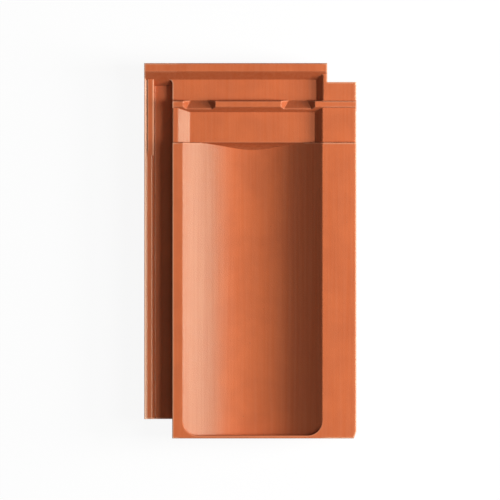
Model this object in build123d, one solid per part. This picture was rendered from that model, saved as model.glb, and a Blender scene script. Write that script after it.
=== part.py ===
from build123d import *
import math
import os

# Interlocking clay roof tile with one wide trough, lying face up.
# X runs across the tile, Y from its tail to its head, Z up from the floor it lies on. Millimetres.

# Widths, from the left edge of the side lap to the right edge of the cover rib
lap_width = 36.5
left_rib_width = 13.5
trough_width = 181.5
cover_rib_width = 44.5

# Lengths, from the tail to the head
field_length = 384.7
plateau_length = 39.7
bead_front_length = 6.5
bead_top_length = 8.0
channel_length = 27.9
head_lip_slope_length = 10.0
head_lip_top_length = 11.2

# Wall thicknesses
trough_wall = 12.0
cover_plate_wall = 10.0
lap_wall = 7.5

# Depths below the top of the ribs
trough_depth = 24.0
head_floor_depth = 11.5
head_rib_depth = 4.0
bead_depth = 2.5
notch_crest_depth = 6.0
head_lip_depth = 1.0
lap_lip_depth = 10.5
seal_rib_depth = 11.8
head_seal_depth = 11.0
groove_depth = 20.0
cover_leg_depth = 17.5

# Side lap, from its outer lip to the water groove
lap_lip_top_width = 0.8
lap_lip_slope_width = 3.4
seal_rib_width = 6.1
head_seal_width = 8.1
head_seal_slope_length = 8.0
head_seal_length = 98.8
groove_wall_width = 3.3
lap_setback = 25.0

# Cover rib, with the leg that stands in the next tile's groove
cover_leg_width = 9.5
cover_leg_draft = 1.0
cover_leg_setback = 34.0
ear_setback = 24.5
head_lip_gap = 38.0

# Left rib below the face
rib_foot_width = 12.0
rib_foot_draft = 3.0

# Head pockets
plateau_left_flat_width = 7.5
plateau_left_slope_width = 15.6
plateau_right_slope_width = 9.5
channel_right_slope_width = 8.5
channel_right_flat_width = 5.5
trough_head_slope_length = 11.5
trough_head_slope_sink = 1.0
trough_head_slope_sag_share = 0.12

# Beads across the head, each with sloping ends, and the notches between them
left_bead_width = 14.1
left_notch_width = 42.0
middle_bead_width = 85.3
right_notch_width = 44.2
bead_end_slope_width = 10.0
bead_back_draft = 0.8

# Tail
tail_rim_width = 3.6
tail_rim_draft_angle = 1.5
tail_corner_radius = 19.5
cover_corner_cut_width = 3.4
cover_corner_cut_length = 9.0

# Hanging nibs under the head and foot rib under the tail
nib_height = 18.0
nib_width = 32.0
nib_spacing = 130.0
nib_hook_setback = 32.0
nib_root_length = 24.0
nib_tip_length = 14.0
foot_height = 10.0
foot_width = 120.0
foot_setback = 10.0
foot_root_length = 16.0
foot_draft = 3.0

# Rounded edges
crease_radius = 4.0
edge_radius = 1.5
fine_radius = 1.0
rib_edge_radius = 0.6
soft_radius = 3.0
pocket_corner_radius = 5.0
overrun = 5.0

# Places across the tile
tile_width = lap_width + left_rib_width + trough_width + cover_rib_width
left_x = -tile_width / 2
rib_x = left_x + lap_width
trough_left_x = rib_x + left_rib_width
trough_right_x = trough_left_x + trough_width
trough_middle_x = (trough_left_x + trough_right_x) / 2
right_x = trough_right_x + cover_rib_width
head_lip_right_x = right_x - head_lip_gap

# Places along the tile
head_length = plateau_length + bead_front_length + bead_top_length + channel_length
tile_length = field_length + head_length + head_lip_slope_length + head_lip_top_length
tail_y = -tile_length / 2
step_y = tail_y + field_length
bead_foot_y = step_y + plateau_length
bead_front_y = bead_foot_y + bead_front_length
bead_back_y = bead_front_y + bead_top_length
head_lip_foot_y = bead_back_y + channel_length
head_lip_top_y = head_lip_foot_y + head_lip_slope_length
head_y = head_lip_top_y + head_lip_top_length
ear_y = head_y - ear_setback

# Heights above the floor
rib_z = foot_height + trough_wall + trough_depth
belly_z = foot_height
seat_z = nib_height
trough_z = rib_z - trough_depth
head_floor_z = rib_z - head_floor_depth
head_rib_z = rib_z - head_rib_depth
bead_z = rib_z - bead_depth
notch_crest_z = rib_z - notch_crest_depth
head_lip_z = rib_z - head_lip_depth
lap_lip_z = rib_z - lap_lip_depth
seal_rib_z = rib_z - seal_rib_depth
head_seal_z = rib_z - head_seal_depth
groove_z = rib_z - groove_depth
lap_under_z = groove_z - lap_wall
cover_ceiling_z = rib_z - cover_plate_wall
cover_leg_z = rib_z - cover_leg_depth

# Circle of the trough, shared by its face, its belly and the foot rib
trough_half = trough_width / 2
trough_radius = (trough_half**2 + trough_depth**2) / (2 * trough_depth)
trough_centre_z = trough_z + trough_radius


def arc_z(x, depth_below_face):
    """Height of the trough's face at x, or of the circle that lies so far under it."""
    radius = trough_radius + depth_below_face
    return trough_centre_z - math.sqrt(radius**2 - (x - trough_middle_x) ** 2)


def arc_reach(z, depth_below_face):
    """Distance from the trough's middle at which that circle comes up to height z."""
    radius = trough_radius + depth_below_face
    return math.sqrt(radius**2 - (trough_centre_z - z) ** 2)


def outline(*points):
    """Flat face with straight sides."""
    return make_face(Polyline(*points, close=True).edges())


def rounded(face, radius, *corners):
    """The face with those of its corners rounded."""
    picked = [face.vertices().sort_by_distance(Vector(*corner))[0] for corner in corners]
    return fillet(picked, radius)


def along(section, from_y, to_y):
    """Section in X and Z, run along the tile."""
    return Pos(0, to_y, 0) * extrude(Plane.XZ * section, to_y - from_y)


def across(profile, from_x, to_x):
    """Profile in Y and Z, run across the tile."""
    return Pos(from_x, 0, 0) * extrude(Plane.YZ * profile, to_x - from_x)


def upright(plan, from_z, to_z):
    """Plan in X and Y, run upwards."""
    return Pos(0, 0, from_z) * extrude(plan, to_z - from_z)


# Places on the underside that follow the belly's circle
hollow_x = trough_middle_x + arc_reach(cover_ceiling_z, trough_wall)
rib_foot_x = rib_x + rib_foot_width
valley_x = rib_foot_x + rib_foot_draft
valley_z = arc_z(valley_x, trough_wall)
leg_root_x = right_x - cover_leg_width - cover_leg_draft


def field_section():
    """Section of the left rib, the trough and the cover rib with its leg."""
    left = Polyline((rib_x, lap_under_z), (rib_x, rib_z), (trough_left_x, rib_z))
    face = ThreePointArc((trough_left_x, rib_z), (trough_middle_x, trough_z), (trough_right_x, rib_z))
    cover = Polyline(
        (trough_right_x, rib_z),
        (right_x, rib_z),
        (right_x - cover_leg_draft, cover_leg_z),
        (right_x - cover_leg_width, cover_leg_z),
        (leg_root_x, cover_ceiling_z),
        (hollow_x, cover_ceiling_z),
    )
    belly = ThreePointArc((hollow_x, cover_ceiling_z), (trough_middle_x, belly_z), (valley_x, valley_z))
    foot = Polyline((valley_x, valley_z), (rib_foot_x, lap_under_z), (rib_x, lap_under_z))
    edges = left.edges() + face.edges() + cover.edges() + belly.edges() + foot.edges()
    section = make_face(edges)
    section = rounded(section, crease_radius, (trough_left_x, rib_z), (trough_right_x, rib_z))
    section = rounded(section, rib_edge_radius, (rib_x, rib_z))
    section = rounded(section, edge_radius, (right_x, rib_z))
    section = rounded(section, soft_radius, (valley_x, valley_z), (hollow_x, cover_ceiling_z))
    return section


def trough_fill_section():
    """Section of the trough's hollow, from the middle of its wall up to the ribs."""
    depth = trough_wall / 2
    left = trough_left_x - crease_radius
    right = trough_right_x + crease_radius
    floor = ThreePointArc(
        (left, arc_z(left, depth)), (trough_middle_x, trough_z - depth), (right, arc_z(right, depth))
    )
    sides = Polyline((right, arc_z(right, depth)), (right, rib_z), (left, rib_z), (left, arc_z(left, depth)))
    return make_face(floor.edges() + sides.edges())


def tail_rim():
    """Rim that closes the trough at the tail, level with the ribs and rounded in the corners."""
    rim_y = tail_y + tail_rim_width
    corner_y = rim_y + tail_corner_radius
    pocket_plan = outline(
        (trough_left_x, rim_y),
        (trough_right_x, rim_y),
        (trough_right_x, corner_y + overrun),
        (trough_left_x, corner_y + overrun),
    )
    pocket_plan = rounded(pocket_plan, tail_corner_radius, (trough_left_x, rim_y), (trough_right_x, rim_y))
    pocket_depth = trough_depth + trough_wall
    pocket = Pos(0, 0, rib_z) * extrude(pocket_plan, -pocket_depth, taper=tail_rim_draft_angle)
    return along(trough_fill_section(), tail_y, corner_y) - pocket


def edge_round_cut(edge_y, facing):
    """Cut that rounds the ribs' top edge at edge_y, where they face the head (1) or the tail (-1)."""
    start_y = edge_y - facing * fine_radius
    turn_share = math.sqrt(1 / 2)
    turn_y = start_y + facing * fine_radius * turn_share
    turn_z = rib_z - fine_radius * (1 - turn_share)
    outer_y = edge_y + facing * overrun
    low_z = rib_z - fine_radius
    curve = ThreePointArc((start_y, rib_z), (turn_y, turn_z), (edge_y, low_z))
    sides = Polyline(
        (edge_y, low_z), (outer_y, low_z), (outer_y, rib_z + overrun), (start_y, rib_z + overrun), (start_y, rib_z)
    )
    return across(make_face(curve.edges() + sides.edges()), rib_x - overrun, right_x + overrun)


def belly_ramp_cut():
    """Cut that runs the belly up to the seat of the batten under the head."""
    belly_drop = seat_z - belly_z
    ramp = outline(
        (step_y + overrun, seat_z + overrun),
        (step_y + overrun, belly_z - overrun),
        (step_y - belly_drop - overrun, belly_z - overrun),
    )
    return across(ramp, trough_left_x, trough_right_x)


def field():
    """The long field from the tail to the head, with its trough closed at the tail."""
    body = along(field_section(), tail_y, step_y) + tail_rim() - belly_ramp_cut()
    return body - edge_round_cut(tail_y, -1) - edge_round_cut(step_y, 1)


def lap():
    """Side lap on the left: outer lip, seal rib and water groove."""
    lip_x = left_x + lap_lip_top_width
    seal_x = lip_x + lap_lip_slope_width
    wall_x = seal_x + seal_rib_width
    groove_x = wall_x + groove_wall_width
    section = outline(
        (left_x, lap_under_z),
        (left_x, lap_lip_z),
        (lip_x, lap_lip_z),
        (seal_x, seal_rib_z),
        (wall_x, seal_rib_z),
        (groove_x, groove_z),
        (rib_x, groove_z),
        (rib_x, lap_under_z),
    )
    section = rounded(section, edge_radius, (wall_x, seal_rib_z), (groove_x, groove_z), (left_x, lap_under_z))
    strip = along(section, tail_y + lap_setback, head_lip_top_y)
    seal_end_y = head_lip_foot_y - head_seal_length
    seal = outline(
        (seal_end_y, seal_rib_z),
        (seal_end_y + head_seal_slope_length, head_seal_z),
        (head_lip_top_y, head_seal_z),
        (head_lip_top_y, lap_under_z),
        (seal_end_y, lap_under_z),
    )
    return strip + across(seal, seal_x, seal_x + head_seal_width)


def head_floor():
    """Floor of the head pockets, with the hollow slope from the plateau down into the trough."""
    foot_y = step_y - trough_head_slope_length
    foot_z = trough_z - trough_head_slope_sink
    slope_sag = trough_head_slope_sag_share * math.hypot(step_y - foot_y, head_floor_z - foot_z)
    slope = SagittaArc((foot_y, foot_z), (step_y, head_floor_z), -slope_sag)
    sides = Polyline(
        (step_y, head_floor_z),
        (head_lip_top_y, head_floor_z),
        (head_lip_top_y, seat_z),
        (step_y, seat_z),
        (foot_y, foot_z),
    )
    slab = make_face(slope.edges() + sides.edges())
    return across(rounded(slab, fine_radius, (step_y, head_floor_z)), rib_x, hollow_x)


def head_lip():
    """Raised lip along the head, sloping down into the channel and the water groove."""
    slope_share = head_lip_slope_length / (head_lip_z - head_floor_z)
    groove_end_y = head_lip_foot_y - slope_share * (head_floor_z - groove_z)
    profile = outline(
        (groove_end_y, seat_z),
        (groove_end_y, groove_z),
        (head_lip_top_y, head_lip_z),
        (head_y, head_lip_z),
        (head_y, seat_z),
    )
    profile = rounded(profile, soft_radius, (head_lip_top_y, head_lip_z))
    profile = rounded(profile, edge_radius, (head_y, head_lip_z), (head_y, seat_z))
    return across(profile, left_x, head_lip_right_x)


def left_head_rib():
    """Low rib on the left of the plateau."""
    flat_x = rib_x + plateau_left_flat_width
    section = outline(
        (rib_x, lap_under_z),
        (rib_x, head_rib_z),
        (flat_x, head_rib_z),
        (flat_x + plateau_left_slope_width, head_floor_z),
        (flat_x + plateau_left_slope_width, lap_under_z),
    )
    section = rounded(section, crease_radius, (flat_x, head_rib_z))
    section = rounded(section, edge_radius, (rib_x, head_rib_z))
    return along(section, step_y, bead_back_y)


def cover_head_section(flat_x, slope_width):
    """Section of the cover rib beside the head, with the slope down to the head floor."""
    foot_x = flat_x - slope_width
    section = outline(
        (foot_x, seat_z),
        (foot_x, head_floor_z),
        (flat_x, head_rib_z),
        (right_x, head_rib_z),
        (right_x - cover_leg_draft, cover_ceiling_z),
        (hollow_x, cover_ceiling_z),
        (hollow_x, seat_z),
    )
    section = rounded(section, crease_radius, (flat_x, head_rib_z))
    return rounded(section, edge_radius, (right_x, head_rib_z))


def cover_head():
    """Cover rib beside the head, up to its ear, with the wall of the channel beside the lip."""
    beside_plateau = cover_head_section(trough_right_x, plateau_right_slope_width)
    channel_flat_x = head_lip_right_x - channel_right_flat_width
    beside_channel = cover_head_section(channel_flat_x, channel_right_slope_width)
    rib = along(beside_plateau, step_y, bead_back_y) + along(beside_channel, bead_back_y, ear_y)
    foot_x = channel_flat_x - channel_right_slope_width
    wall = outline(
        (foot_x, seat_z),
        (foot_x, head_floor_z),
        (channel_flat_x, head_rib_z),
        (head_lip_right_x, head_rib_z),
        (head_lip_right_x, seat_z),
    )
    wall = rounded(wall, crease_radius, (channel_flat_x, head_rib_z))
    leg = outline(
        (right_x - cover_leg_draft, cover_ceiling_z),
        (right_x - cover_leg_draft, cover_leg_z),
        (right_x - cover_leg_width, cover_leg_z),
        (leg_root_x, cover_ceiling_z),
    )
    return rib + along(wall, ear_y, head_lip_top_y) + along(leg, step_y, head_y - cover_leg_setback)


def bead(from_x, to_x, left_slope, right_slope):
    """One stretch of the bead across the head, with its ends sloping by the given widths."""
    profile = outline(
        (bead_foot_y, seat_z),
        (bead_foot_y, head_floor_z),
        (bead_front_y, bead_z),
        (bead_back_y, bead_z),
        (bead_back_y + bead_back_draft, head_floor_z),
        (bead_back_y + bead_back_draft, seat_z),
    )
    profile = rounded(profile, edge_radius, (bead_front_y, bead_z), (bead_back_y, bead_z))
    ends = outline(
        (from_x - left_slope, head_floor_z),
        (from_x, bead_z),
        (to_x, bead_z),
        (to_x + right_slope, head_floor_z),
    )
    return across(profile, from_x - left_slope, to_x + right_slope) & along(ends, bead_foot_y, head_lip_foot_y)


def beads():
    """Three beads across the head, clear of the cover's hollow, and the low crest in the notches between them."""
    left_end_x = rib_x + left_bead_width
    middle_x = left_end_x + left_notch_width
    middle_end_x = middle_x + middle_bead_width
    right_bead_x = middle_end_x + right_notch_width
    crest_rise_share = (notch_crest_z - head_floor_z) / (bead_z - head_floor_z)
    crest_y = bead_foot_y + bead_front_length * crest_rise_share
    crest = outline(
        (bead_foot_y, seat_z),
        (bead_foot_y, head_floor_z),
        (crest_y, notch_crest_z),
        (bead_back_y + bead_back_draft, head_floor_z),
        (bead_back_y + bead_back_draft, seat_z),
    )
    crest = rounded(crest, edge_radius, (crest_y, notch_crest_z))
    row = across(crest, left_end_x, right_bead_x)
    row += bead(rib_x, left_end_x, 0, bead_end_slope_width)
    row += bead(middle_x, middle_end_x, bead_end_slope_width, bead_end_slope_width)
    row += bead(right_bead_x, right_x, bead_end_slope_width, 0)
    under_cover = outline(
        (hollow_x, seat_z), (hollow_x, cover_ceiling_z), (right_x, cover_ceiling_z), (right_x, seat_z)
    )
    return row - along(under_cover, bead_foot_y, head_lip_foot_y)


def corner_fill(corner_x, corner_y, side_x, side_y, top_z):
    """Fill that rounds the plan of a pocket's inner corner. The signs point from the corner into the pocket."""
    centre_x = corner_x + side_x * pocket_corner_radius
    centre_y = corner_y + side_y * pocket_corner_radius
    square = outline((corner_x, corner_y), (centre_x, corner_y), (centre_x, centre_y), (corner_x, centre_y))
    plan = square - Pos(centre_x, centre_y) * Circle(pocket_corner_radius)
    return upright(plan, seat_z, top_z)


def pocket_corners():
    """Rounded corners of the channel at the cover rib, and of the water groove where it ends at the head lip."""
    wall_x = head_lip_right_x - channel_right_flat_width + crease_radius / 2
    lip_rise_share = (head_rib_z - head_floor_z) / (head_lip_z - head_floor_z)
    wall_end_y = head_lip_foot_y + head_lip_slope_length * lip_rise_share
    return [
        corner_fill(wall_x, bead_back_y, -1, 1, head_rib_z),
        corner_fill(wall_x, wall_end_y, -1, -1, head_rib_z),
        corner_fill(rib_x, head_lip_foot_y, -1, -1, head_floor_z),
    ]


def nibs():
    """Two hanging nibs that hook over the batten."""
    hook_y = head_y - nib_hook_setback
    profile = outline(
        (hook_y, seat_z + overrun),
        (hook_y, 0),
        (hook_y + nib_tip_length, 0),
        (hook_y + nib_root_length, seat_z),
        (hook_y + nib_root_length, seat_z + overrun),
    )
    profile = rounded(profile, soft_radius, (hook_y, 0), (hook_y + nib_tip_length, 0))
    pair = []
    for side in (-1, 1):
        middle_x = trough_middle_x + side * nib_spacing / 2
        pair.append(across(profile, middle_x - nib_width / 2, middle_x + nib_width / 2))
    return pair


def foot():
    """Foot rib under the tail, which stands on the plateau of the tile below."""
    half = foot_width / 2
    depth = trough_wall / 2
    left = trough_middle_x - half
    right = trough_middle_x + half
    top = ThreePointArc(
        (left, arc_z(left, depth)), (trough_middle_x, trough_z - depth), (right, arc_z(right, depth))
    )
    sides = Polyline((right, arc_z(right, depth)), (right, 0), (left, 0), (left, arc_z(left, depth)))
    section = rounded(make_face(top.edges() + sides.edges()), soft_radius, (left, 0), (right, 0))
    from_y = tail_y + foot_setback
    to_y = from_y + foot_root_length
    bar = along(section, from_y, to_y)
    taper = outline(
        (from_y, rib_z),
        (from_y, belly_z),
        (from_y + foot_draft, 0),
        (to_y - foot_draft, 0),
        (to_y, belly_z),
        (to_y, rib_z),
    )
    return bar & across(taper, left, right)


def cover_corner_cut():
    """Cut off the tail corner of the cover rib."""
    plan = outline(
        (right_x - cover_corner_cut_width, tail_y),
        (right_x + cover_corner_cut_width, tail_y),
        (right_x + cover_corner_cut_width, tail_y + cover_corner_cut_length),
        (right_x, tail_y + cover_corner_cut_length),
    )
    return upright(plan, 0, rib_z)


def roof_tile():
    """The whole tile, one fired piece."""
    tile = field() + lap() + head_floor() + head_lip() + left_head_rib() + cover_head() + beads()
    tile += foot()
    for piece in pocket_corners() + nibs():
        tile += piece
    return tile - cover_corner_cut()


os.makedirs("parts", exist_ok=True)
tile = roof_tile()
export_step(tile, "parts/roof_tile.step")
print("roof_tile", len(tile.solids()), "solid", round(tile.volume), tile.bounding_box())
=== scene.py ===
import math

import bpy
from bpy.props import FloatProperty, FloatVectorProperty, PointerProperty
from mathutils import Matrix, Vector


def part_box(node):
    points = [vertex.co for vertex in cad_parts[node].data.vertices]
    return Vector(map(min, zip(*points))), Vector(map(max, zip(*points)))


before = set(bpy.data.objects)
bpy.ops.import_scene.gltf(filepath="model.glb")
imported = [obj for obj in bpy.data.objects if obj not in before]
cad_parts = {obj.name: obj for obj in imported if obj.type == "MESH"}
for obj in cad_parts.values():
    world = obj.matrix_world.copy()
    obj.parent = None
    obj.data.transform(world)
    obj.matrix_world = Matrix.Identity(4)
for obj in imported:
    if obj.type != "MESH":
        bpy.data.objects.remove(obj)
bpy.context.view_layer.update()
tile_low, tile_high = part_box("roof_tile")

bl_info = {
    "name": "Clay Roof Tile",
    "version": (1, 0, 0),
    "blender": (4, 5, 0),
    "location": "View3D > Sidebar > Roof Tile",
    "description": "Fired clay finish of an interlocking roof tile, and the studio that it is shown in",
    "category": "Object",
}

# How far the slip's thick clouds and the painted shade in creases, streaks, worn edges and specks show, at
# most
THICK_SHARE = 0.25
STREAK_SHARE = 0.06
WORN_SHARE = 0.9
SPECK_SHOW_SHARE = 0.45

# How far the edges in the tile's middle are worn, and the length over which the wear grows to full
INNER_WEAR_SHARE = 0.3
RUBBED_FADE = 0.010

# How far grain, clouds and streaks each turn the bare clay pale, at most
DUST_SHARE = 0.20
DUST_STREAK_SHARE = 0.15

# Largest radius of a speck and of a pore as shares of their spacing, and the part of a dot that is full
SPECK_RADIUS_SHARE = 0.10
PORE_RADIUS_SHARE = 0.09
DOT_CORE_SHARE = 0.5

# Upward parts of a face's normal between which the slip's painted slope shade fades out, from slope to level
SLOPE_SHADE_RANGE = (0.952, 0.999)

# Upward parts of a face's normal between which the spray comes in, and how far the clouds shift it
SPRAY_RANGE = (-0.35, 0.25)
SPRAY_DRIFT_SHARE = 0.3

# Rightward parts of a face's normal between which the slip changes from dull to satin
SATIN_RANGE = (0.08, 0.26)

# Difference in roughness between the grain's hollows and tops
GRAIN_ROUGHNESS = 0.10

# Depths of a streak and of a pore as shares of the grain's depth, and strength of this relief
STREAK_DEPTH_SHARE = 0.35
PORE_DEPTH_SHARE = 2.0
RELIEF_STRENGTH = 0.6

# Noise of the speckles, and the heights of it between which they come in
NOISE_DETAIL = 4.0
NOISE_ROUGHNESS = 0.55
SPECKLE_RANGE = (0.30, 0.70)

# Open shares of the space round a point between which an edge or a crease fades out
OPEN_RANGE = (0.70, 0.98)

# Rays that find the edges and creases, and rays that soften the edges
CORNER_SAMPLES = 8
BEVEL_SAMPLES = 6

# Places of a Mix node's factor and two ends among its inputs, and of its result among its outputs
COLOR_MIX_INPUTS = (0, 6, 7)
COLOR_MIX_OUTPUT = 2
VALUE_MIX_INPUTS = (0, 2, 3)
VALUE_MIX_OUTPUT = 0

# How many camera heights away the camera still sees the floor
CLIP_HEIGHTS = 4


class FiredClaySettings(bpy.types.PropertyGroup):
    """Colours and surface of the fired clay."""

    # The slip's own colour, kept on level faces; its darker copy on slopes is painted shade
    slip_color: FloatVectorProperty(
        name="Slip",
        description="Colour of the red slip on level faces, where the spray lies full",
        subtype="COLOR",
        min=0,
        max=1,
        default=(0.697, 0.148, 0.038),
    )
    # Painted shade: a darker copy of the slip for slopes, standing in for how the light falls on them
    painted_slope_shade_color: FloatVectorProperty(
        name="Slip on slopes",
        description="Colour of the red slip on slopes, where the spray lies thinner on the dark body",
        subtype="COLOR",
        min=0,
        max=1,
        default=(0.452, 0.089, 0.022),
    )
    # Colour of the slip's thick clouds, also used as painted shade in the creases
    thick_slip_and_crease_shade_color: FloatVectorProperty(
        name="Thick slip",
        description="Colour where the slip lies thicker, in clouds and creases",
        subtype="COLOR",
        min=0,
        max=1,
        default=(0.420, 0.070, 0.020),
    )
    thin_slip_color: FloatVectorProperty(
        name="Thin slip",
        description="Colour where the slip is thin, along the edges and the pressing streaks",
        subtype="COLOR",
        min=0,
        max=1,
        default=(0.860, 0.420, 0.250),
    )
    bare_color: FloatVectorProperty(
        name="Bare clay",
        description="Colour of the underside, which has no slip",
        subtype="COLOR",
        min=0,
        max=1,
        default=(0.520, 0.165, 0.070),
    )
    speck_color: FloatVectorProperty(
        name="Iron speck",
        description="Colour of the iron specks in the clay",
        subtype="COLOR",
        min=0,
        max=1,
        default=(0.260, 0.055, 0.025),
    )
    sheen_color: FloatVectorProperty(
        name="Sheen",
        description="Tint of the satin sheen",
        subtype="COLOR",
        min=0,
        max=1,
        default=(0.84, 1.00, 0.78),
    )
    sheen_level: FloatProperty(
        name="Sheen level",
        description="Strength of the satin sheen",
        min=0,
        max=1,
        default=1.0,
    )
    slip_roughness: FloatProperty(
        name="Slip roughness",
        description="Roughness of the satin slip on slopes that face right, towards the spray",
        min=0,
        max=1,
        default=0.36,
    )
    dull_roughness: FloatProperty(
        name="Dull roughness",
        description="Roughness of the slip on all other faces",
        min=0,
        max=1,
        default=0.68,
    )
    bare_roughness: FloatProperty(
        name="Bare roughness",
        description="Roughness of the bare clay",
        min=0,
        max=1,
        default=0.85,
    )
    matt_share: FloatProperty(
        name="Matt share",
        description="How far the body colour looks powdery, as fired clay does",
        min=0,
        max=1,
        default=0.2,
    )
    cloud_size: FloatProperty(
        name="Cloud size",
        description="Size of the clouds in the slip",
        unit="LENGTH",
        min=0.001,
        default=0.040,
    )
    streak_spacing: FloatProperty(
        name="Streak spacing",
        description="Distance between the pressing streaks that run along the tile",
        unit="LENGTH",
        min=0.0005,
        default=0.0035,
    )
    streak_length: FloatProperty(
        name="Streak length",
        description="Length of a pressing streak",
        unit="LENGTH",
        min=0.001,
        default=0.160,
    )
    grain_size: FloatProperty(
        name="Grain size",
        description="Size of the clay's grain",
        unit="LENGTH",
        min=0.0001,
        default=0.0009,
    )
    grain_depth: FloatProperty(
        name="Grain depth",
        description="Depth of the clay's grain",
        unit="LENGTH",
        min=0,
        default=0.00012,
    )
    speck_spacing: FloatProperty(
        name="Speck spacing",
        description="Distance between the iron specks",
        unit="LENGTH",
        min=0.001,
        default=0.009,
    )
    pore_spacing: FloatProperty(
        name="Pore spacing",
        description="Distance between the open pores",
        unit="LENGTH",
        min=0.001,
        default=0.006,
    )
    worn_edge_width: FloatProperty(
        name="Worn edge",
        description="Width of the thin slip along an edge",
        unit="LENGTH",
        min=0,
        default=0.0026,
    )
    rubbed_from: FloatProperty(
        name="Rubbed from",
        description="Distance from the tile's middle from which the edges are rubbed on the tiles beside it",
        unit="LENGTH",
        min=0,
        default=0.090,
    )
    # Painted shade: the creases are darkened with the thick slip colour, standing in for the shade that falls
    # there
    crease_shade_width: FloatProperty(
        name="Crease",
        description="Width of the thick slip along a crease",
        unit="LENGTH",
        min=0,
        default=0.0040,
    )
    edge_softness: FloatProperty(
        name="Edge softness",
        description="Radius to which the edges are rubbed",
        unit="LENGTH",
        min=0,
        default=0.0018,
    )


class StudioSettings(bpy.types.PropertyGroup):
    """Camera, light and floor."""

    view_width: FloatProperty(
        name="View width",
        description="Width of the picture at the tile",
        unit="LENGTH",
        min=0.01,
        default=0.650,
    )
    view_center: FloatVectorProperty(
        name="View centre",
        description="Point under the middle of the picture",
        size=2,
        unit="LENGTH",
        default=(-0.0004, 0.0010),
    )
    camera_height: FloatProperty(
        name="Camera height",
        description="Height of the camera over the floor",
        unit="LENGTH",
        min=0.1,
        default=12.0,
    )
    softbox_distance: FloatProperty(
        name="Softbox distance",
        description="Distance of the softboxes from the tile",
        unit="LENGTH",
        default=3.0,
    )
    softbox_turn: FloatProperty(
        name="Softbox turn",
        description="Angle of the softboxes from the tile's right towards its tail",
        subtype="ANGLE",
        default=math.radians(0),
    )
    key_elevation: FloatProperty(
        name="Key elevation",
        description="Angle of the low softbox over the floor",
        subtype="ANGLE",
        default=math.radians(18),
    )
    key_size: FloatProperty(
        name="Key size",
        description="Width of the low square softbox",
        unit="LENGTH",
        min=0.01,
        default=1.00,
    )
    key_level: FloatProperty(
        name="Key level",
        description="Light of the low softbox on a level face: "
        "levels that add up to 1 render a colour as it is written",
        min=0,
        default=0.52,
    )
    side_elevation: FloatProperty(
        name="Side elevation",
        description="Angle of the middle softbox over the floor",
        subtype="ANGLE",
        default=math.radians(44),
    )
    side_size: FloatProperty(
        name="Side size",
        description="Width of the middle square softbox",
        unit="LENGTH",
        min=0.01,
        default=1.20,
    )
    side_level: FloatProperty(
        name="Side level",
        description="Light of the middle softbox on a level face, the one that gives the sheen",
        min=0,
        default=0.40,
    )
    top_elevation: FloatProperty(
        name="Top elevation",
        description="Angle of the high softbox over the floor",
        subtype="ANGLE",
        default=math.radians(85),
    )
    top_size: FloatProperty(
        name="Top size",
        description="Width of the high square softbox",
        unit="LENGTH",
        min=0.01,
        default=1.6,
    )
    top_level: FloatProperty(
        name="Top level",
        description="Light of the high softbox on a level face",
        min=0,
        default=0.06,
    )
    fill_level: FloatProperty(
        name="Fill level",
        description="Light from all round, which opens the shadows",
        min=0,
        default=0.07,
    )
    floor_color: FloatVectorProperty(
        name="Floor",
        description="Colour of the floor",
        subtype="COLOR",
        min=0,
        max=1,
        default=(0.97, 0.97, 0.97),
    )
    floor_width: FloatProperty(
        name="Floor width",
        description="Width of the floor",
        unit="LENGTH",
        min=1,
        default=60.0,
    )
    shadow_depth: FloatProperty(
        name="Shadow depth",
        description="How dark the tile's shadow is on the floor",
        min=0,
        max=1,
        default=0.08,
    )


def connect(tree, value, socket):
    """Links a socket to the input, or sets the input to a value."""
    if isinstance(value, bpy.types.NodeSocket):
        tree.links.new(value, socket)
    else:
        socket.default_value = value


def add_node(tree, kind, settings=None, **inputs):
    """New node with its settings, and with its inputs set to values or linked from sockets."""
    node = tree.nodes.new(kind)
    for name, value in (settings or {}).items():
        setattr(node, name, value)
    for name, value in inputs.items():
        connect(tree, value, node.inputs[name])
    return node


def math_node(tree, operation, *values):
    """Result of one step of arithmetic."""
    node = add_node(tree, "ShaderNodeMath", {"operation": operation})
    for value, socket in zip(values, node.inputs):
        connect(tree, value, socket)
    return node.outputs[0]


def map_range(tree, value, source, target=(0.0, 1.0)):
    """The value carried smoothly from the source range into the target range."""
    node = add_node(tree, "ShaderNodeMapRange", {"interpolation_type": "SMOOTHSTEP"}, Value=value)
    for name, limit in zip(("From Min", "From Max", "To Min", "To Max"), (*source, *target)):
        node.inputs[name].default_value = limit
    return node.outputs["Result"]


def mix_colors(tree, factor, first, second):
    """Blend of two colours."""
    node = add_node(tree, "ShaderNodeMix", {"data_type": "RGBA"})
    for value, place in zip((factor, first, second), COLOR_MIX_INPUTS):
        connect(tree, value, node.inputs[place])
    return node.outputs[COLOR_MIX_OUTPUT]


def mix_values(tree, factor, first, second):
    """Blend of two numbers."""
    node = tree.nodes.new("ShaderNodeMix")
    for value, place in zip((factor, first, second), VALUE_MIX_INPUTS):
        connect(tree, value, node.inputs[place])
    return node.outputs[VALUE_MIX_OUTPUT]


def opaque(color):
    """The colour with full alpha, as shader sockets take it."""
    return (*color, 1)


def new_group(name, inputs, outputs):
    """Empty shader node group with those sockets, and the ends of its inputs and outputs."""
    group = bpy.data.node_groups.new(name, "ShaderNodeTree")
    for socket, kind in inputs.items():
        group.interface.new_socket(socket, in_out="INPUT", socket_type=kind)
    for socket, kind in outputs.items():
        group.interface.new_socket(socket, in_out="OUTPUT", socket_type=kind)
    return group, group.nodes.new("NodeGroupInput").outputs, group.nodes.new("NodeGroupOutput").inputs


def place_mask(tree, group, **inputs):
    """Mask of the group, placed as a node of a material."""
    return add_node(tree, "ShaderNodeGroup", {"node_tree": group}, **inputs).outputs["Mask"]


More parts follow.
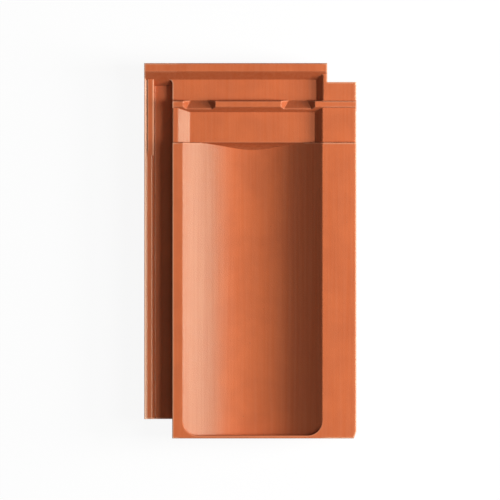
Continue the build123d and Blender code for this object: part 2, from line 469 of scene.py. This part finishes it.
def speckle_group():
    """Soft speckles of one size across the tile, and of one length along it."""
    sockets = {"Place": "NodeSocketVector", "Size": "NodeSocketFloat", "Length": "NodeSocketFloat"}
    group, inputs, outputs = new_group("Speckle", sockets, {"Mask": "NodeSocketFloat"})
    across = math_node(group, "DIVIDE", 1.0, inputs["Size"])
    along = math_node(group, "DIVIDE", 1.0, inputs["Length"])
    rate = add_node(group, "ShaderNodeCombineXYZ", X=across, Y=along, Z=across).outputs[0]
    place = add_node(group, "ShaderNodeVectorMath", {"operation": "MULTIPLY"})
    for value, socket in zip((inputs["Place"], rate), place.inputs):
        connect(group, value, socket)
    noise = add_node(
        group,
        "ShaderNodeTexNoise",
        Vector=place.outputs[0],
        Scale=1.0,
        Detail=NOISE_DETAIL,
        Roughness=NOISE_ROUGHNESS,
    )
    connect(group, map_range(group, noise.outputs["Fac"], SPECKLE_RANGE), outputs["Mask"])
    return group


def dots_group():
    """Scattered round dots of random size, the largest with that share of their spacing as radius."""
    sockets = {"Place": "NodeSocketVector", "Spacing": "NodeSocketFloat", "Share": "NodeSocketFloat"}
    group, inputs, outputs = new_group("Dots", sockets, {"Mask": "NodeSocketFloat"})
    rate = math_node(group, "DIVIDE", 1.0, inputs["Spacing"])
    cells = add_node(group, "ShaderNodeTexVoronoi", Vector=inputs["Place"], Scale=rate).outputs
    chance = add_node(group, "ShaderNodeSeparateColor", Color=cells["Color"]).outputs["Red"]
    radius = math_node(group, "MULTIPLY", math_node(group, "MULTIPLY", chance, chance), inputs["Share"])
    reach = math_node(group, "DIVIDE", cells["Distance"], radius)
    connect(group, map_range(group, reach, (DOT_CORE_SHARE, 1.0), (1.0, 0.0)), outputs["Mask"])
    return group


def corner_group(name, inside):
    """Mask of the creases, or of the outer edges when it looks from inside the clay."""
    group, inputs, outputs = new_group(name, {"Width": "NodeSocketFloat"}, {"Mask": "NodeSocketFloat"})
    settings = {"inside": inside, "samples": CORNER_SAMPLES}
    corner = add_node(group, "ShaderNodeAmbientOcclusion", settings, Distance=inputs["Width"])
    connect(group, map_range(group, corner.outputs["AO"], OPEN_RANGE, (1.0, 0.0)), outputs["Mask"])
    return group


def clay_masks(tree, clay, place):
    """Masks of the clay's marks, by name."""
    speckle = speckle_group()
    dots = dots_group()
    streak = {"Size": clay.streak_spacing, "Length": clay.streak_length}
    return {
        "clouds": place_mask(tree, speckle, Place=place, Size=clay.cloud_size, Length=clay.cloud_size),
        "streaks": place_mask(tree, speckle, Place=place, **streak),
        "grain": place_mask(tree, speckle, Place=place, Size=clay.grain_size, Length=clay.grain_size),
        "specks": place_mask(tree, dots, Place=place, Spacing=clay.speck_spacing, Share=SPECK_RADIUS_SHARE),
        "pores": place_mask(tree, dots, Place=place, Spacing=clay.pore_spacing, Share=PORE_RADIUS_SHARE),
        "worn": place_mask(tree, corner_group("Worn Edge", True), Width=clay.worn_edge_width),
        # This crease mask paints shade into the creases
        "crease": place_mask(tree, corner_group("Crease", False), Width=clay.crease_shade_width),
    }


def slip_coat(tree, clay, masks, place, up):
    """Colour of the red slip: painted shade on slopes and in creases, darker in thick clouds, pale where it
    is thin or worn.
    """
    # Painted shade: slopes take the darker copy of the slip
    level = map_range(tree, up, SLOPE_SHADE_RANGE)
    slip = mix_colors(tree, level, opaque(clay.painted_slope_shade_color), opaque(clay.slip_color))
    # Thick slip in the clouds; in the creases this darkening is painted shade
    thick = math_node(tree, "MAXIMUM", math_node(tree, "SUBTRACT", 1.0, masks["clouds"]), masks["crease"])
    thick = math_node(tree, "MULTIPLY", thick, THICK_SHARE)
    slip = mix_colors(tree, thick, slip, opaque(clay.thick_slip_and_crease_shade_color))
    across = add_node(tree, "ShaderNodeSeparateXYZ", Vector=place).outputs["X"]
    rubbed = (clay.rubbed_from, clay.rubbed_from + RUBBED_FADE)
    wear = map_range(tree, math_node(tree, "ABSOLUTE", across), rubbed, (INNER_WEAR_SHARE, 1.0))
    worn = math_node(tree, "MULTIPLY", math_node(tree, "MULTIPLY", masks["worn"], wear), WORN_SHARE)
    thin = math_node(tree, "MAXIMUM", math_node(tree, "MULTIPLY", masks["streaks"], STREAK_SHARE), worn)
    slip = mix_colors(tree, thin, slip, opaque(clay.thin_slip_color))
    specks = math_node(tree, "MULTIPLY", masks["specks"], SPECK_SHOW_SHARE)
    return mix_colors(tree, specks, slip, opaque(clay.speck_color))


def bare_body(tree, clay, masks):
    """Colour of the bare clay, with pale dust and iron specks."""
    dust = math_node(tree, "ADD", masks["grain"], masks["clouds"])
    dust = math_node(tree, "MULTIPLY", dust, DUST_SHARE)
    dust = math_node(tree, "ADD", dust, math_node(tree, "MULTIPLY", masks["streaks"], DUST_STREAK_SHARE))
    bare = mix_colors(tree, dust, opaque(clay.bare_color), opaque(clay.thin_slip_color))
    return mix_colors(tree, masks["specks"], bare, opaque(clay.speck_color))


def slip_satin(tree, clay, masks, right):
    """Roughness of the slip: satin on slopes that face right, dull elsewhere, with the grain in it."""
    hollow = GRAIN_ROUGHNESS / 2
    smooth = map_range(tree, right, SATIN_RANGE, (clay.dull_roughness - hollow, clay.slip_roughness - hollow))
    return math_node(tree, "ADD", smooth, math_node(tree, "MULTIPLY", masks["grain"], GRAIN_ROUGHNESS))


def clay_relief(tree, clay, masks):
    """Normal of the clay: soft edges, with grain, streaks and pores."""
    relief = math_node(tree, "MULTIPLY", masks["streaks"], STREAK_DEPTH_SHARE)
    relief = math_node(tree, "ADD", masks["grain"], relief)
    pores = math_node(tree, "MULTIPLY", masks["pores"], PORE_DEPTH_SHARE)
    relief = math_node(tree, "SUBTRACT", relief, pores)
    edges = add_node(tree, "ShaderNodeBevel", {"samples": BEVEL_SAMPLES}, Radius=clay.edge_softness)
    bump = add_node(
        tree,
        "ShaderNodeBump",
        Height=relief,
        Distance=clay.grain_depth,
        Strength=RELIEF_STRENGTH,
        Normal=edges.outputs["Normal"],
    )
    return bump.outputs["Normal"]


def empty_material(name):
    """New material without nodes, and its node tree."""
    material = bpy.data.materials.new(name)
    material.use_nodes = True
    material.node_tree.nodes.clear()
    return material, material.node_tree


def fired_clay(clay):
    """Red slip on the face and bare clay underneath."""
    material, tree = empty_material("slipped_clay")
    coordinates = tree.nodes.new("ShaderNodeTexCoord").outputs
    place = coordinates["Object"]
    facing = add_node(tree, "ShaderNodeSeparateXYZ", Vector=coordinates["Normal"]).outputs
    masks = clay_masks(tree, clay, place)
    drift = math_node(tree, "MULTIPLY", masks["clouds"], SPRAY_DRIFT_SHARE)
    sprayed = map_range(tree, math_node(tree, "ADD", facing["Z"], drift), SPRAY_RANGE)
    slip = slip_coat(tree, clay, masks, place, facing["Z"])
    satin = slip_satin(tree, clay, masks, facing["X"])

    shader = tree.nodes.new("ShaderNodeBsdfPrincipled")
    shader.inputs["Diffuse Roughness"].default_value = clay.matt_share
    shader.inputs["Specular IOR Level"].default_value = clay.sheen_level
    shader.inputs["Specular Tint"].default_value = opaque(clay.sheen_color)
    color = mix_colors(tree, sprayed, bare_body(tree, clay, masks), slip)
    connect(tree, color, shader.inputs["Base Color"])
    connect(tree, mix_values(tree, sprayed, clay.bare_roughness, satin), shader.inputs["Roughness"])
    connect(tree, clay_relief(tree, clay, masks), shader.inputs["Normal"])
    add_node(tree, "ShaderNodeOutputMaterial", Surface=shader.outputs["BSDF"])
    return material


def studio_floor(studio):
    """Pale matt floor, lifted towards white where it is seen, so that the shadow stays faint."""
    material, tree = empty_material("studio_floor")
    matt = add_node(tree, "ShaderNodeBsdfDiffuse", Color=opaque(studio.floor_color))
    white = tree.nodes.new("ShaderNodeEmission")
    ray = tree.nodes.new("ShaderNodeLightPath").outputs
    seen = math_node(tree, "MAXIMUM", ray["Is Camera Ray"], ray["Is Glossy Ray"])
    seen = math_node(tree, "MAXIMUM", seen, ray["Is Transmission Ray"])
    lift = math_node(tree, "MULTIPLY", seen, 1 - studio.shadow_depth)
    mix = tree.nodes.new("ShaderNodeMixShader")
    for value, socket in zip((lift, matt.outputs["BSDF"], white.outputs["Emission"]), mix.inputs):
        connect(tree, value, socket)
    add_node(tree, "ShaderNodeOutputMaterial", Surface=mix.outputs["Shader"])
    return material


class ROOFTILE_OT_fired_clay(bpy.types.Operator):
    """Give the tile its fired clay finish"""

    bl_idname = "rooftile.fired_clay"
    bl_label = "Fired Clay"

    def execute(self, context):
        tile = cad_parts["roof_tile"]
        tile.data.materials.clear()
        tile.data.materials.append(fired_clay(context.scene.fired_clay))
        return {"FINISHED"}


class ROOFTILE_OT_studio(bpy.types.Operator):
    """Set up the floor, the softboxes, the fill light and the camera"""

    bl_idname = "rooftile.studio"
    bl_label = "Studio"

    def execute(self, context):
        scene = context.scene
        studio = scene.studio
        self.add_floor(scene, studio)
        softboxes = (
            ("key", studio.key_elevation, studio.key_size, studio.key_level, False),
            ("side", studio.side_elevation, studio.side_size, studio.side_level, True),
            ("top", studio.top_elevation, studio.top_size, studio.top_level, False),
        )
        for name, elevation, size, level, gives_sheen in softboxes:
            softbox = self.add_softbox(scene, studio, name, elevation, size, level)
            softbox.visible_glossy = gives_sheen
        self.add_fill(scene, studio)
        self.add_camera(scene, studio)
        scene.view_settings.view_transform = "Standard"
        return {"FINISHED"}

    def add_floor(self, scene, studio):
        """Square floor under the tile."""
        half = studio.floor_width / 2
        corners = [(-half, -half, 0), (half, -half, 0), (half, half, 0), (-half, half, 0)]
        mesh = bpy.data.meshes.new("floor")
        mesh.from_pydata(corners, [], [(0, 1, 2, 3)])
        mesh.materials.append(studio_floor(studio))
        floor = bpy.data.objects.new("floor", mesh)
        floor.location.z = tile_low.z
        scene.collection.objects.link(floor)

    def add_softbox(self, scene, studio, name, elevation, size, level):
        """Square lamp that faces the tile, with the power that gives a level face that level of light."""
        turn = studio.softbox_turn
        flat = math.cos(elevation)
        direction = Vector((flat * math.cos(turn), -flat * math.sin(turn), math.sin(elevation)))
        lamp = bpy.data.lights.new(name, "AREA")
        lamp.size = size
        lamp.energy = level * (math.pi * studio.softbox_distance) ** 2 / direction.z
        softbox = bpy.data.objects.new(name, lamp)
        softbox.location = direction * studio.softbox_distance
        softbox.rotation_euler = direction.to_track_quat("Z", "Y").to_euler()
        softbox.visible_camera = False
        scene.collection.objects.link(softbox)
        return softbox

    def add_fill(self, scene, studio):
        """White light from all round."""
        world = bpy.data.worlds.new("fill")
        world.use_nodes = True
        background = world.node_tree.nodes["Background"]
        background.inputs["Color"].default_value = (1, 1, 1, 1)
        background.inputs["Strength"].default_value = studio.fill_level
        scene.world = world

    def add_camera(self, scene, studio):
        """Camera that looks straight down, with a lens for the view's width at the tile's top."""
        lens = bpy.data.cameras.new("camera")
        to_tile = studio.camera_height - tile_high.z
        lens.lens = lens.sensor_width * to_tile / studio.view_width
        lens.clip_end = CLIP_HEIGHTS * studio.camera_height
        camera = bpy.data.objects.new("camera", lens)
        camera.location = (*studio.view_center, studio.camera_height)
        scene.collection.objects.link(camera)
        scene.camera = camera


class ROOFTILE_PT_panel(bpy.types.Panel):
    """The tile's finish and its studio"""

    bl_idname = "ROOFTILE_PT_panel"
    bl_label = "Clay Roof Tile"
    bl_space_type = "VIEW_3D"
    bl_region_type = "UI"
    bl_category = "Roof Tile"

    def draw(self, context):
        steps = (
            (context.scene.fired_clay, ROOFTILE_OT_fired_clay),
            (context.scene.studio, ROOFTILE_OT_studio),
        )
        for settings, operator in steps:
            column = self.layout.column(align=True)
            for name in settings.__annotations__:
                column.prop(settings, name)
            column.operator(operator.bl_idname)


CLASSES = (
    FiredClaySettings,
    StudioSettings,
    ROOFTILE_OT_fired_clay,
    ROOFTILE_OT_studio,
    ROOFTILE_PT_panel,
)


def register():
    for cls in CLASSES:
        bpy.utils.register_class(cls)
    bpy.types.Scene.fired_clay = PointerProperty(type=FiredClaySettings)
    bpy.types.Scene.studio = PointerProperty(type=StudioSettings)


def unregister():
    del bpy.types.Scene.studio
    del bpy.types.Scene.fired_clay
    for cls in reversed(CLASSES):
        bpy.utils.unregister_class(cls)


def main():
    """Dress the tile and set up the studio."""
    register()
    bpy.ops.rooftile.fired_clay()
    bpy.ops.rooftile.studio()


if __name__ == "__main__":
    main()
